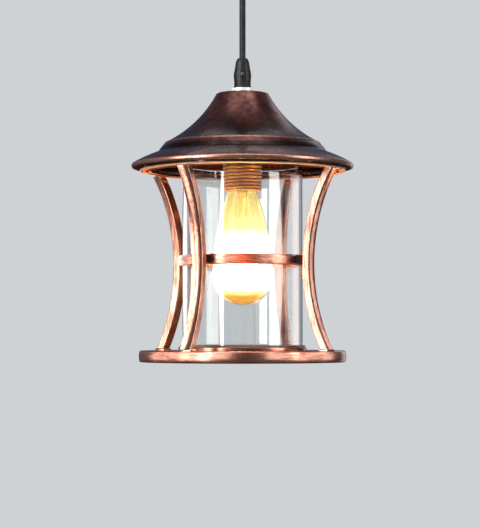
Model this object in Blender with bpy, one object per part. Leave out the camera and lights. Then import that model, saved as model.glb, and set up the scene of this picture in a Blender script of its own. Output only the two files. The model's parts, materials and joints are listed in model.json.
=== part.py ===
"""Hanging lantern: a copper-coloured cage of four waisted ribs around a clear glass cylinder,
under a spun bell roof, with one screw-in bulb, hung on a short flexible cord from a ceiling rose.

Units are metres, +Z is up. The origin is the centre of the face that the mounting bracket
presses against the ceiling. Heights are first worked out above the underside of the cage's
bottom ring, and up() turns them into world heights.
"""
import math

import bmesh
import bpy
from mathutils import Matrix, Vector

MM = 0.001

# ---------------------------------------------------------------- driving dimensions
DROP = 425 * MM              # ceiling face to the underside of the bottom ring
SHEET = 1.2 * MM             # thickness of the spun and pressed sheet metal
GAP = 0.3 * MM               # clearance between pieces that touch

CORD_R = 3.25 * MM           # sheathed cord
CORD_BORE_R = 3.6 * MM       # hole that the cord passes through
PIVOT_GAP = 1.3 * MM         # free cord's end to the mouth of the grip that it swings at
THREAD_R = 5.0 * MM          # M10 lamp thread
THREAD_BORE_R = 5.3 * MM     # hole or nut on that thread
NIPPLE_BORE_R = 3.7 * MM
NUT_DEPTH = 3.4 * MM         # thin lamp nut

GRIP_BASE = 274.6 * MM       # lantern's cord grip, heights above the ring's underside
GRIP_LENGTH = 30 * MM
GRIP_R = 8.9 * MM
GRIP_THREAD_DEPTH = 10.4 * MM
GRIP_SCREW_UP = 13.4 * MM    # clamp screw above the grip's base
ROSE_GRIP_LENGTH = 27 * MM

ROOF_TOP = 269.4 * MM
ROOF_TOP_R = 25 * MM
COLLAR_R = 11 * MM
SHOULDER = (27 * MM, 267.2 * MM)
RIDGE = (76.6 * MM, 219.5 * MM)
SKIRT_TOP = (78.6 * MM, 217.6 * MM)
SKIRT_FOOT = (85 * MM, 209.8 * MM)
LIP_TOP = (110.3 * MM, 198.0 * MM)
LIP = (111.3 * MM, 196.3 * MM)
LIP_FOOT = (110.7 * MM, 193.9 * MM)
SLOPE_SAG = 5.0 * MM         # how far the bell slope dips under its chord
BRIM_SAG = 0.6 * MM          # how far the brim rises over its chord
GALLERY_IN = (92 * MM, 187.6 * MM)
GALLERY_OUT = (108.9 * MM, 194.0 * MM)

RIB_AZIMUTHS = {"front_left": -33, "front_right": 57, "back_right": 147, "back_left": -123}
RIB_WIDTH = 12 * MM
RIB_DEPTH = 8 * MM
RIB_WAIST_R = 77 * MM        # rib's centre line where it is nearest the axis
RIB_BEND_R = 182 * MM        # radius of the rib's bow
RIB_WAIST = 97 * MM

BAND_IN_R = 61.5 * MM
BAND_OUT_R = 63.5 * MM
BAND_HEIGHT = 10.2 * MM
BAND_LEVEL = 101 * MM        # middle of the band
SPACER_WIDTH = 10 * MM

RING_OUT_R = 103.5 * MM
RING_IN_R = 68.5 * MM
RING_HEIGHT = 11.5 * MM
RING_WEB = 2.4 * MM
RING_WALL = 3.5 * MM

TRAY_OPENING_R = 50 * MM
TRAY_FLANGE_R = 80 * MM
TRAY_WALL_R = 64 * MM
TRAY_WALL_TOP = 14.8 * MM
GASKET_TOP = 16.8 * MM       # the gasket's lip stands a little above the tray
TRAY_TOP = RING_HEIGHT - RING_WEB - GAP
TRAY_THICKNESS = 2 * MM
THUMBSCREW_R = 75 * MM
THUMBSCREW_AZIMUTHS = (0, 120, 240)

GLASS_R = 60 * MM
GLASS_WALL = 3 * MM
GLASS_TOP = 196 * MM
GLASS_FOOT = 10.9 * MM

HOLDER_R = 19.7 * MM         # crest of the holder's outside thread
HOLDER_FOOT = 171 * MM
HOLDER_TOP = 199 * MM
HOLDER_PITCH = 3.4 * MM

BULB_TIP = 57 * MM
BULB_R = 30 * MM
BULB_NECK_R = 12 * MM
BULB_BULGE = 3.2 * MM        # how far the taper stands out from a straight cone
FILAMENT_R = 14 * MM
FILAMENT_LEVEL = 101 * MM
FILAMENT_REACH = 27 * MM     # half the length of the filament's hairpins
CAP_CREST_R = 13.1 * MM
CAP_ROOT_R = 12.4 * MM
CAP_PITCH = 3.63 * MM
CAP_FOOT = 174.5 * MM
CAP_TOP = 195.5 * MM

CROSSBAR_TOP = 226 * MM
CROSSBAR_WIDTH = 16 * MM

ROSE_R = 50 * MM
ROSE_FLOOR = 396 * MM        # underside of the ceiling cup
ROSE_SCREWS = 416 * MM       # screws that hold the cup to the bracket
BRACKET_LENGTH = 95 * MM
BRACKET_WIDTH = 18 * MM
BRACKET_PLATE = 2 * MM

ROUND = 32                   # sides of the large turned pieces
SMALL_ROUND = 12             # sides of the small ones


# ---------------------------------------------------------------- materials
def material(name, colour, roughness, metallic=0.0, alpha=1.0):
    mat = bpy.data.materials.new(name)
    mat.use_nodes = True
    shader = mat.node_tree.nodes["Principled BSDF"]
    shader.inputs["Base Color"].default_value = (*colour, 1.0)
    shader.inputs["Roughness"].default_value = roughness
    shader.inputs["Metallic"].default_value = metallic
    shader.inputs["Alpha"].default_value = alpha
    return mat


FINISHES = {
    "aged_copper": ((0.16, 0.06, 0.045), 0.38, 0.85),
    "rib_copper": ((0.42, 0.19, 0.14), 0.36, 0.85),
    "holder_copper": ((0.36, 0.15, 0.09), 0.4, 0.8),
    "pale_zinc": ((0.78, 0.76, 0.74), 0.4, 0.6),
    "plated_steel": ((0.55, 0.55, 0.56), 0.35, 0.9),
    "cap_brass": ((0.72, 0.58, 0.36), 0.32, 0.9),
    "black_plastic": ((0.02, 0.02, 0.022), 0.45, 0.0),
    "black_cord": ((0.012, 0.012, 0.014), 0.6, 0.0),
    "ceramic": ((0.8, 0.79, 0.76), 0.4, 0.0),
    "black_glass": ((0.015, 0.015, 0.02), 0.2, 0.0),
    "clear_glass": ((0.92, 0.95, 0.96), 0.03, 0.0, 0.25),
    "bulb_glass": ((1.0, 0.86, 0.55), 0.05, 0.0, 0.4),
    "gasket_rubber": ((0.05, 0.05, 0.05), 0.7, 0.0),
    "filament_metal": ((1.0, 0.75, 0.35), 0.5, 0.3),
    "brown_wire": ((0.2, 0.09, 0.04), 0.5, 0.0),
    "blue_wire": ((0.03, 0.12, 0.4), 0.5, 0.0),
}


# ---------------------------------------------------------------- helpers
def up(height):
    """World height of a level measured above the underside of the bottom ring."""
    return height - DROP


def around(radius, azimuth, height):
    """World point at an azimuth in degrees, counted from the front (-Y) towards +X."""
    angle = math.radians(azimuth)
    return Vector((radius * math.sin(angle), -radius * math.cos(angle), up(height)))


def arc(start, end, sag, steps):
    """Points of a circular arc from start to end, dipping by sag to the right of its chord."""
    (x0, y0), (x1, y1) = start, end
    dx, dy = x1 - x0, y1 - y0
    chord = math.hypot(dx, dy)
    radius = chord * chord / (8 * abs(sag)) + abs(sag) / 2
    half = math.asin(chord / (2 * radius))
    side = math.copysign(1.0, sag)
    points = []
    for i in range(steps + 1):
        angle = -half + 2 * half * i / steps
        along = chord / 2 + radius * math.sin(angle)
        depth = side * (radius * math.cos(angle) - radius * math.cos(half))
        points.append((x0 + (dx * along + dy * depth) / chord, y0 + (dy * along - dx * depth) / chord))
    return points


def skin(path, thickness):
    """Closed outline of a sheet whose outer side is path, thickened to the path's right."""
    inner = []
    for i, (x, y) in enumerate(path):
        before, after = path[max(i - 1, 0)], path[min(i + 1, len(path) - 1)]
        dx, dy = after[0] - before[0], after[1] - before[1]
        length = math.hypot(dx, dy)
        inner.append((x + dy / length * thickness, y - dx / length * thickness))
    return path + inner[::-1]


def finish_mesh(name, bm, finish, sharp=40):
    """Close a bmesh into a named object with its own material."""
    bmesh.ops.remove_doubles(bm, verts=bm.verts, dist=0.00001 * MM)
    bmesh.ops.recalc_face_normals(bm, faces=bm.faces)
    mesh = bpy.data.meshes.new(name)
    bm.to_mesh(mesh)
    bm.free()
    mesh.shade_smooth()
    mesh.set_sharp_from_angle(angle=math.radians(sharp))
    obj = bpy.data.objects.new(name, mesh)
    bpy.context.collection.objects.link(obj)
    if finish:
        mesh.materials.append(material(name, *FINISHES[finish]))
    return obj


def turned(name, outline, finish, sides=ROUND, closed=True):
    """Spin an outline of (radius, height) points about Z. An open outline ends on the axis."""
    bm = bmesh.new()
    verts = [bm.verts.new((r, 0, up(h))) for r, h in outline]
    pairs = list(zip(verts, verts[1:])) + ([(verts[-1], verts[0])] if closed else [])
    edges = [bm.edges.new(pair) for pair in pairs]
    bmesh.ops.spin(bm, geom=verts + edges, cent=(0, 0, 0), axis=(0, 0, 1), dvec=(0, 0, 0),
                   angle=2 * math.pi, steps=sides, use_merge=True)
    return finish_mesh(name, bm, finish)


def tube(name, radius, bore, low, high, finish, sides=SMALL_ROUND):
    outline = [(radius, high), (radius, low), (bore, low), (bore, high)]
    return turned(name, outline, finish, sides)


def block(name, size, centre, finish, turn=0.0, bevel=0.0):
    """Rectangular block of a size, about a world centre, turned about Z by degrees."""
    bm = bmesh.new()
    bmesh.ops.create_cube(bm, size=1.0)
    bmesh.ops.scale(bm, vec=size, verts=bm.verts)
    if bevel:
        bmesh.ops.bevel(bm, geom=list(bm.edges), offset=bevel, segments=1, affect="EDGES")
    obj = finish_mesh(name, bm, finish, sharp=20)
    obj.location = centre
    obj.rotation_euler = (0, 0, math.radians(turn))
    return obj


def cutter(obj):
    obj.hide_render = True
    obj.display_type = "WIRE"
    return obj


def drill(target, centre, axis, radius, length, sides=12):
    """Cut a round hole of a length, centred on a world point, along an axis."""
    bm = bmesh.new()
    bmesh.ops.create_cone(bm, cap_ends=True, segments=sides, radius1=radius, radius2=radius, depth=length)
    tool = cutter(finish_mesh(target.name + "_hole", bm, None))
    tool.location = centre
    tool.rotation_mode = "QUATERNION"
    tool.rotation_quaternion = Vector(axis).to_track_quat("Z", "Y")
    cut = target.modifiers.new("hole", "BOOLEAN")
    cut.operation = "DIFFERENCE"
    cut.object = tool


def screw(name, head_face, axis, head_r, head_depth, shank_r, length, finish, sides=12):
    """Screw with its head's inner face at a world point and its shank running along axis."""
    bm = bmesh.new()
    outline = [(0, -head_depth), (head_r, -head_depth), (head_r, 0), (shank_r, 0), (shank_r, length), (0, length)]
    verts = [bm.verts.new((r, 0, z)) for r, z in outline]
    edges = [bm.edges.new(pair) for pair in zip(verts, verts[1:])]
    bmesh.ops.spin(bm, geom=verts + edges, cent=(0, 0, 0), axis=(0, 0, 1), dvec=(0, 0, 0),
                   angle=2 * math.pi, steps=sides, use_merge=True)
    obj = finish_mesh(name, bm, finish)
    obj.location = head_face
    obj.rotation_mode = "QUATERNION"
    obj.rotation_quaternion = Vector(axis).to_track_quat("Z", "Y")
    return obj


def hex_nut(name, low, depth, finish):
    """Six-sided nut on the lamp thread, its lower face at a height above the ring's underside."""
    outline = [(0, low + depth), (8 * MM, low + depth), (8 * MM, low), (0, low)]
    nut = turned(name, outline, finish, sides=6, closed=False)
    drill(nut, (0, 0, up(low + depth / 2)), (0, 0, 1), THREAD_BORE_R, 3 * depth, sides=SMALL_ROUND)


def wire(name, points, radius, finish, resolution=2):
    """Round wire or cord with filled ends along world points."""
    curve = bpy.data.curves.new(name, "CURVE")
    curve.dimensions = "3D"
    curve.bevel_depth = radius
    curve.bevel_resolution = resolution
    curve.use_fill_caps = True
    spline = curve.splines.new("POLY")
    spline.points.add(len(points) - 1)
    for point, place in zip(spline.points, points):
        point.co = (*place, 1.0)
    obj = bpy.data.objects.new(name, curve)
    bpy.context.collection.objects.link(obj)
    curve.materials.append(material(name, *FINISHES[finish]))
    return obj


def ridges(crest, root, top, bottom, pitch):
    """Rounded thread-like ridges, as points running down an outer side."""
    points = [(root, top)]
    count = int((top - bottom) / pitch)
    start = top - ((top - bottom) - count * pitch) / 2
    for i in range(count):
        high = start - i * pitch
        points += [(root, high), (crest, high - 0.5 * pitch)]
    return points + [(root, bottom)]


# ---------------------------------------------------------------- ceiling rose
def cord_grip(name, base, length, pointing):
    """Tapered cord grip standing on its base, pointing up (+1) or down (-1)."""
    outline = [(CORD_BORE_R, length), (4.9 * MM, length), (6.3 * MM, length - 2.4 * MM),
               (GRIP_R - 0.2 * MM, length * 0.5), (GRIP_R, length * 0.4), (8.5 * MM, length * 0.3),
               (8.5 * MM, 5.4 * MM), (8.1 * MM, 4.8 * MM), (8.1 * MM, 3.6 * MM), (8.6 * MM, 3 * MM),
               (8.6 * MM, 0), (THREAD_BORE_R, 0), (THREAD_BORE_R, GRIP_THREAD_DEPTH),
               (CORD_BORE_R, GRIP_THREAD_DEPTH)]
    outline = [(r, base + pointing * h) for r, h in outline]
    grip = turned(name, outline, "black_plastic", sides=16)
    level = base + pointing * GRIP_SCREW_UP
    drill(grip, around(7 * MM, 0, level), (0, -1, 0), 1.9 * MM, 8 * MM, sides=8)
    face = around(GRIP_R - 1.4 * MM, 0, level)
    screw(name.replace("grip", "clamp_screw"), face, (0, 1, 0), 1.6 * MM, 0.8 * MM, 1.3 * MM,
          3.2 * MM, "plated_steel", sides=8)


def ceiling_rose():
    centre = up(DROP - BRACKET_PLATE / 2)
    strap = block("mounting_bracket", (BRACKET_LENGTH, BRACKET_WIDTH, BRACKET_PLATE), (0, 0, centre),
                  "plated_steel")
    tab_depth = 13 * MM
    for side in (-1, 1):
        x = side * (BRACKET_LENGTH / 2 - BRACKET_PLATE / 2)
        tab = cutter(block("bracket_tab", (BRACKET_PLATE, BRACKET_WIDTH - 4 * MM, tab_depth),
                           (x, 0, -BRACKET_PLATE / 2 - tab_depth / 2), None))
        weld = strap.modifiers.new("tab", "BOOLEAN")
        weld.operation = "UNION"
        weld.object = tab
        drill(strap, (side * 28 * MM, 0, centre), (0, 0, 1), 2.6 * MM, 3 * BRACKET_PLATE)
        drill(strap, (x, 0, up(ROSE_SCREWS)), (1, 0, 0), 2.1 * MM, 4 * BRACKET_PLATE)

    floor = ROSE_FLOOR
    corner = arc((26 * MM, floor), (ROSE_R, floor + 16 * MM), 4.4 * MM, 5)
    cup_path = [(THREAD_BORE_R, floor)] + corner
    cup_path.append((ROSE_R, DROP - GAP))
    cup = turned("rose_cup", skin(cup_path, -SHEET), "aged_copper")
    for side, label in ((-1, "left"), (1, "right")):
        drill(cup, (side * ROSE_R, 0, up(ROSE_SCREWS)), (1, 0, 0), 2.1 * MM, 8 * MM)
        screw("rose_cup_screw_" + label, (side * (ROSE_R + GAP), 0, up(ROSE_SCREWS)), (-side, 0, 0),
              3.6 * MM, 3.2 * MM, 1.8 * MM, 6.5 * MM, "aged_copper")

    cord_grip("rose_cord_grip", floor - GAP, ROSE_GRIP_LENGTH, -1)
    tube("rose_nipple", THREAD_R, NIPPLE_BORE_R, floor - GAP - GRIP_THREAD_DEPTH + 0.4 * MM, floor + 7.2 * MM,
         "plated_steel")
    hex_nut("rose_grip_nut", floor + SHEET + GAP, NUT_DEPTH, "plated_steel")
    mouth = floor - GAP - ROSE_GRIP_LENGTH
    wire("rose_cord_tail", [(0, 0, up(h)) for h in (mouth + GAP, floor, floor + 10 * MM)], CORD_R, "black_cord")

    block_low = DROP - BRACKET_PLATE - GAP - 12 * MM
    terminals = block("terminal_block", (24 * MM, 15 * MM, 12 * MM), (0, 0, up(block_low + 6 * MM)), "ceramic",
                      bevel=1 * MM)
    for side, label in ((-1, "live"), (1, "neutral")):
        place = Vector((side * 6 * MM, -7.5 * MM, up(block_low + 6 * MM)))
        drill(terminals, place, (0, 1, 0), 2.3 * MM, 9 * MM)
        screw("terminal_screw_" + label, place + Vector((0, 1.4 * MM, 0)), (0, 1, 0), 2 * MM, 1.2 * MM,
              1.5 * MM, 2.4 * MM, "cap_brass")


# ---------------------------------------------------------------- cord and top fittings
def free_cord():
    """The cord between the two grips, hanging straight under the lantern's weight."""
    top = ROSE_FLOOR - GAP - ROSE_GRIP_LENGTH - PIVOT_GAP
    bottom = GRIP_BASE + GRIP_LENGTH + PIVOT_GAP
    spans = 5
    heights = [top + (bottom - top) * i / spans for i in range(spans + 1)]
    wire("cord", [(0, 0, up(h)) for h in heights], CORD_R, "black_cord")


def top_fittings():
    tube("collar_nut", COLLAR_R, THREAD_BORE_R, ROOF_TOP + GAP, GRIP_BASE - GAP, "pale_zinc", sides=24)
    tube("threaded_nipple", THREAD_R, NIPPLE_BORE_R, 212 * MM, GRIP_BASE + GRIP_THREAD_DEPTH - 0.4 * MM,
         "plated_steel")
    under = ROOF_TOP - SHEET - GAP
    tube("roof_washer", 10 * MM, THREAD_BORE_R, under - 1.2 * MM, under, "plated_steel")
    hex_nut("roof_lock_nut", under - 1.2 * MM - GAP - NUT_DEPTH, NUT_DEPTH, "plated_steel")
    hex_nut("crossbar_upper_nut", CROSSBAR_TOP + GAP, NUT_DEPTH, "plated_steel")
    hex_nut("crossbar_lower_nut", CROSSBAR_TOP - BRACKET_PLATE - GAP - NUT_DEPTH, NUT_DEPTH, "plated_steel")
    wire("lantern_cord_tail", [(0, 0, up(h)) for h in (304.3 * MM, 260 * MM, 213.5 * MM)], CORD_R, "black_cord")


# ---------------------------------------------------------------- roof and cage
def roof():
    path = [(THREAD_BORE_R, ROOF_TOP), (ROOF_TOP_R, ROOF_TOP), (26.4 * MM, ROOF_TOP - 0.7 * MM), SHOULDER]
    path += arc(SHOULDER, RIDGE, SLOPE_SAG, 5)[1:]
    path += [SKIRT_TOP]
    path += arc(SKIRT_FOOT, LIP_TOP, -BRIM_SAG, 3)
    path += [LIP, LIP_FOOT]
    turned("roof_shell", skin(path, SHEET), "aged_copper")


def gallery():
    """Cone that closes the roof's lip from below, with a rolled bead on its inner edge."""
    (r_in, low), (r_out, high) = GALLERY_IN, GALLERY_OUT
    slope = (high - low) / (r_out - r_in)
    bead = 1.5 * MM
    outline = [(r_out, high + SHEET), (r_out, high), (r_in + 2 * bead, low + 2 * bead * slope),
               (r_in + bead, low - 0.4 * MM), (r_in, low), (r_in - 0.4 * MM, low + bead),
               (r_in, low + 2 * bead), (r_in + bead, low + 2 * bead)]
    turned("gallery_ring", outline, "rib_copper")


def crossbar():
    """Bent strap that hangs the cage from the nipple, its feet standing on the gallery ring."""
    flat, foot = 58 * MM, 97 * MM
    top = [(0, CROSSBAR_TOP), (flat, CROSSBAR_TOP), (foot - 3 * MM, 196.0 * MM), (foot + 3 * MM, 196.4 * MM)]
    side = skin(top, BRACKET_PLATE)
    outline = side + [(-x, h) for x, h in reversed(side) if x > 0]
    bm = bmesh.new()
    verts = [bm.verts.new((x, -CROSSBAR_WIDTH / 2, up(h))) for x, h in outline]
    face = bm.faces.new(verts)
    sweep = bmesh.ops.extrude_face_region(bm, geom=[face])
    moved = [v for v in sweep["geom"] if isinstance(v, bmesh.types.BMVert)]
    bmesh.ops.translate(bm, vec=(0, CROSSBAR_WIDTH, 0), verts=moved)
    bar = finish_mesh("cage_crossbar", bm, "rib_copper", sharp=20)
    drill(bar, (0, 0, up(CROSSBAR_TOP)), (0, 0, 1), THREAD_BORE_R, 12 * MM, sides=SMALL_ROUND)


def rib(label, azimuth):
    """Flat bar bowed in at the waist, cut level on the ring and to the gallery's slope on top."""
    chamfer = 1.3 * MM
    half_w, half_d = RIB_WIDTH / 2, RIB_DEPTH / 2
    section = [(half_d - chamfer, half_w), (half_d, half_w - chamfer), (half_d, chamfer - half_w),
               (half_d - chamfer, -half_w), (chamfer - half_d, -half_w), (-half_d, chamfer - half_w),
               (-half_d, half_w - chamfer), (chamfer - half_d, half_w)]
    sweep = math.radians(62)
    centre = (RIB_WAIST_R + RIB_BEND_R, 0, up(RIB_WAIST))
    bm = bmesh.new()
    verts = [bm.verts.new((RIB_WAIST_R + x, y, up(RIB_WAIST))) for x, y in section]
    face = bm.faces.new(verts)
    bmesh.ops.rotate(bm, verts=verts, cent=centre, matrix=Matrix.Rotation(-sweep / 2, 3, "Y"))
    bmesh.ops.spin(bm, geom=[face], cent=centre, axis=(0, 1, 0), dvec=(0, 0, 0), angle=sweep, steps=12)
    bmesh.ops.remove_doubles(bm, verts=bm.verts, dist=0.001 * MM)
    (r_in, low), (r_out, high) = GALLERY_IN, GALLERY_OUT
    slope = Vector((low - high, 0, r_out - r_in)).normalized()
    cuts = [((0, 0, up(RING_HEIGHT + GAP)), (0, 0, -1)),
            (Vector((r_in, 0, up(low))) - slope * GAP, slope)]
    for point, normal in cuts:
        geom = list(bm.verts) + list(bm.edges) + list(bm.faces)
        cut = bmesh.ops.bisect_plane(bm, geom=geom, plane_co=point, plane_no=normal, clear_outer=True)
        rim = [e for e in cut["geom_cut"] if isinstance(e, bmesh.types.BMEdge)]
        bmesh.ops.contextual_create(bm, geom=rim)
    bar = finish_mesh("rib_" + label, bm, "rib_copper")
    bar.rotation_euler = (0, 0, math.radians(azimuth - 90))


def cage():
    gallery()
    crossbar()
    for label, azimuth in RIB_AZIMUTHS.items():
        rib(label, azimuth)
        inner, outer = BAND_OUT_R + GAP, RIB_WAIST_R - RIB_DEPTH / 2 - GAP
        block("band_spacer_" + label, (outer - inner, SPACER_WIDTH, BAND_HEIGHT - 2 * MM),
              around((inner + outer) / 2, azimuth, BAND_LEVEL), "aged_copper", turn=azimuth - 90)
    half = BAND_HEIGHT / 2
    top, foot = BAND_LEVEL + half, BAND_LEVEL - half
    turned("waist_band", [(BAND_OUT_R - 0.6 * MM, top), (BAND_OUT_R, top - 1.5 * MM), (BAND_OUT_R, foot + 1.5 * MM),
                          (BAND_OUT_R - 0.6 * MM, foot), (BAND_IN_R, foot), (BAND_IN_R, top)], "rib_copper")
    wall = RING_OUT_R - RING_WALL
    web_low = RING_HEIGHT - RING_WEB
    ring = turned("bottom_ring", [(RING_OUT_R - 1.4 * MM, RING_HEIGHT), (RING_OUT_R, RING_HEIGHT - 2.2 * MM),
                                  (RING_OUT_R, 2.2 * MM), (RING_OUT_R - 1.4 * MM, 0), (wall, 0), (wall, web_low),
                                  (RING_IN_R, web_low), (RING_IN_R, RING_HEIGHT)], "rib_copper")
    for azimuth in THUMBSCREW_AZIMUTHS:
        drill(ring, around(THUMBSCREW_R, azimuth, RING_HEIGHT), (0, 0, 1), 2.3 * MM, 8 * MM)


# ---------------------------------------------------------------- glass and its tray
def glass_and_tray():
    tray_low = TRAY_TOP - TRAY_THICKNESS
    tray = turned("glass_tray", [(TRAY_WALL_R, TRAY_WALL_TOP), (TRAY_WALL_R, TRAY_TOP), (TRAY_FLANGE_R, TRAY_TOP),
                                 (TRAY_FLANGE_R, tray_low), (TRAY_OPENING_R, tray_low), (TRAY_OPENING_R, TRAY_TOP),
                                 (TRAY_WALL_R - SHEET, TRAY_TOP), (TRAY_WALL_R - SHEET, TRAY_WALL_TOP)],
                  "rib_copper")
    for index, azimuth in enumerate(THUMBSCREW_AZIMUTHS, 1):
        drill(tray, around(THUMBSCREW_R, azimuth, TRAY_TOP), (0, 0, 1), 2.3 * MM, 8 * MM)
        screw("tray_thumbscrew_" + str(index), around(THUMBSCREW_R, azimuth, tray_low - GAP), (0, 0, 1),
              4.6 * MM, 4.8 * MM, 1.9 * MM, 4.9 * MM, "cap_brass")
    seat_r = TRAY_WALL_R - SHEET - GAP
    seat_low, seat_high = TRAY_TOP + GAP, GLASS_FOOT - GAP
    inside = GLASS_R - GLASS_WALL - 2 * MM
    turned("glass_gasket", [(seat_r, GASKET_TOP), (seat_r, seat_low), (inside, seat_low), (inside, seat_high),
                            (GLASS_R + GAP, seat_high), (GLASS_R + GAP, GASKET_TOP)], "gasket_rubber")
    tube("glass_cylinder", GLASS_R, GLASS_R - GLASS_WALL, GLASS_FOOT, GLASS_TOP, "clear_glass", sides=ROUND)


# ---------------------------------------------------------------- lampholder
def lampholder():
    inside = 16.4 * MM
    skirt = ridges(HOLDER_R, HOLDER_R - 1 * MM, HOLDER_TOP, HOLDER_FOOT, HOLDER_PITCH)
    turned("holder_skirt", skirt + [(inside, HOLDER_FOOT), (inside, HOLDER_TOP)], "holder_copper", sides=20)
    cap_low = HOLDER_TOP + GAP
    dome = arc((9 * MM, 213 * MM), (HOLDER_R - 0.3 * MM, cap_low + 2 * MM), -3.4 * MM, 4)
    outer = [(8 * MM, 220 * MM), (8 * MM, 213.8 * MM)] + dome + [(HOLDER_R - 0.3 * MM, cap_low)]
    inner = [(inside, cap_low), (inside, 203 * MM), (12 * MM, 209 * MM), (THREAD_BORE_R, 211 * MM),
             (THREAD_BORE_R, 220 * MM)]
    turned("holder_cap", outer + inner, "holder_copper", sides=20)
    core_r, floor_low, floor_high = 16.1 * MM, 203 * MM, 205.5 * MM
    tube_r = 14.9 * MM
    turned("holder_core", [(core_r - 2.6 * MM, floor_high), (core_r, 202 * MM), (core_r, 180 * MM),
                           (tube_r, 180 * MM), (tube_r, 201 * MM), (1.6 * MM, floor_low),
                           (1.6 * MM, floor_high)], "ceramic", sides=20)
    shell = ridges(14.6 * MM, 14.1 * MM, 199 * MM, 181 * MM, CAP_PITCH)
    bore = [(13.4 * MM, 181 * MM), (13.4 * MM, 199 * MM)]
    turned("contact_shell", shell + bore, "cap_brass", sides=20)
    turned("centre_contact", [(0, 206.6 * MM), (1.3 * MM, 206.6 * MM), (1.3 * MM, 202 * MM), (4.2 * MM, 201.6 * MM),
                              (4.2 * MM, 200.9 * MM), (0, 200.9 * MM)], "cap_brass", sides=12, closed=False)
    for side, label, finish in ((-1, "live", "brown_wire"), (1, "neutral", "blue_wire")):
        path = [(1.6, 213.0), (1.9, 211.2), (3.4, 209.4), (5.4, 208.2), (7.0, 207.2)]
        wire("holder_lead_" + label, [(side * x * MM, 0, up(h * MM)) for x, h in path], 0.8 * MM, finish)


# ---------------------------------------------------------------- bulb
def bulb():
    """Clear teardrop bulb: a round end and a long, gently bulging taper, on a screw cap."""
    wall = 0.8 * MM
    middle = BULB_TIP + BULB_R
    neck_low, neck_top = 172 * MM, 180 * MM
    steps = 6
    ball = [(BULB_R * math.cos(a), middle + BULB_R * math.sin(a))
            for a in [math.radians(3 - 93 * i / steps) for i in range(steps + 1)]]
    taper = arc((14 * MM, neck_low), ball[0], -BULB_BULGE, 5)[:-1]
    outer = [(BULB_NECK_R, neck_top), (BULB_NECK_R, neck_low + 2 * MM)] + taper + ball[:-1]
    inner = skin(outer, wall)[len(outer):]
    turned("bulb_envelope", [(0, BULB_TIP + wall), *inner, *outer, (0, BULB_TIP)], "bulb_glass", sides=20,
           closed=False)
    threads = ridges(CAP_CREST_R, CAP_ROOT_R + 0.1 * MM, CAP_TOP, CAP_FOOT + 3 * MM, CAP_PITCH)
    inside = CAP_ROOT_R - 0.1 * MM
    turned("bulb_cap", threads + [(CAP_CREST_R - 0.2 * MM, CAP_FOOT), (inside, CAP_FOOT), (inside, CAP_TOP)],
           "cap_brass", sides=20)
    low = CAP_TOP + GAP
    turned("bulb_cap_insulator", [(0, low + 2.6 * MM), (6.5 * MM, low + 2.6 * MM), (11.6 * MM, low + 0.6 * MM),
                                  (11.6 * MM, low), (0, low)], "black_glass", sides=16, closed=False)
    turned("bulb_contact", [(0, 200.6 * MM), (3.4 * MM, 200.6 * MM), (4.6 * MM, 199.6 * MM), (4.6 * MM, 198.8 * MM),
                            (0, 198.8 * MM)], "pale_zinc", sides=12, closed=False)
    stem = [(0, 178 * MM), (9.5 * MM, 178 * MM), (9.5 * MM, 176 * MM), (4 * MM, 166 * MM), (2.6 * MM, 140 * MM),
            (3.6 * MM, 136 * MM), (0, 134 * MM)]
    turned("bulb_stem", stem, "bulb_glass", sides=12, closed=False)
    hoops, waves = 8, 5
    points = []
    for i in range(hoops * waves + 1):
        turn = 2 * math.pi * i / (hoops * waves) * 0.96
        swing = math.cos(math.pi * i / waves)
        level = FILAMENT_LEVEL + FILAMENT_REACH * swing
        points.append((FILAMENT_R * math.cos(turn), FILAMENT_R * math.sin(turn), up(level)))
    wire("filament", points, 0.5 * MM, "filament_metal", resolution=0)


# ---------------------------------------------------------------- lantern
def main():
    for obj in list(bpy.data.objects):
        bpy.data.objects.remove(obj, do_unlink=True)
    ceiling_rose()
    free_cord()
    cord_grip("cord_grip", GRIP_BASE, GRIP_LENGTH, 1)
    top_fittings()
    roof()
    cage()
    glass_and_tray()
    lampholder()
    bulb()


main()
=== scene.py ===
"""Looks of the hanging lantern: fine meshes, materials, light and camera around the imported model.

Metres, +Z up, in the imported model's own frame. Outlines are (radius, height) points in
millimetres, the height counted from the underside of the lantern's bottom ring.
"""
import json
import math

import bmesh
import bpy
from mathutils import Matrix, Vector


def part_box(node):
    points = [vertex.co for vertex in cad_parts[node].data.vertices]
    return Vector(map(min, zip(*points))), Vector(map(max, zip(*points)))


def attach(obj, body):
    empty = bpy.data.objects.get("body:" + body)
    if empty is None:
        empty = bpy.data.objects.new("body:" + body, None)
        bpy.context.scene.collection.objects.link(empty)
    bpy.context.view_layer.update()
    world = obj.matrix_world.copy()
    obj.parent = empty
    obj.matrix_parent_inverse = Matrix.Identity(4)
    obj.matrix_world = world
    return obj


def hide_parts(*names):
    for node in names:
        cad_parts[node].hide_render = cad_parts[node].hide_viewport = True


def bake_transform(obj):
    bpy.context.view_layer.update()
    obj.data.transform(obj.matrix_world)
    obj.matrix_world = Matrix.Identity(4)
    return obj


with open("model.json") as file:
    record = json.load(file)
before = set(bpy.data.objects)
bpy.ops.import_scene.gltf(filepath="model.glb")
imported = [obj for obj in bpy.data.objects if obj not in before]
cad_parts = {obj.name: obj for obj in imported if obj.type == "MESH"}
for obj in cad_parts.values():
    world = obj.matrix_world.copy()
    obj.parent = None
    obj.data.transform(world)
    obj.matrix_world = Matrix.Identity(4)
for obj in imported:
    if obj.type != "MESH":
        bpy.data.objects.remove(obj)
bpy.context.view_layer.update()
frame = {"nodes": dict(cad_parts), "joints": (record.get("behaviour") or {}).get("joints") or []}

MM = 0.001
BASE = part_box("bottom_ring")[0].z            # underside of the bottom ring
JOINTS = {joint["name"]: joint for joint in frame["joints"]}

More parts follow.
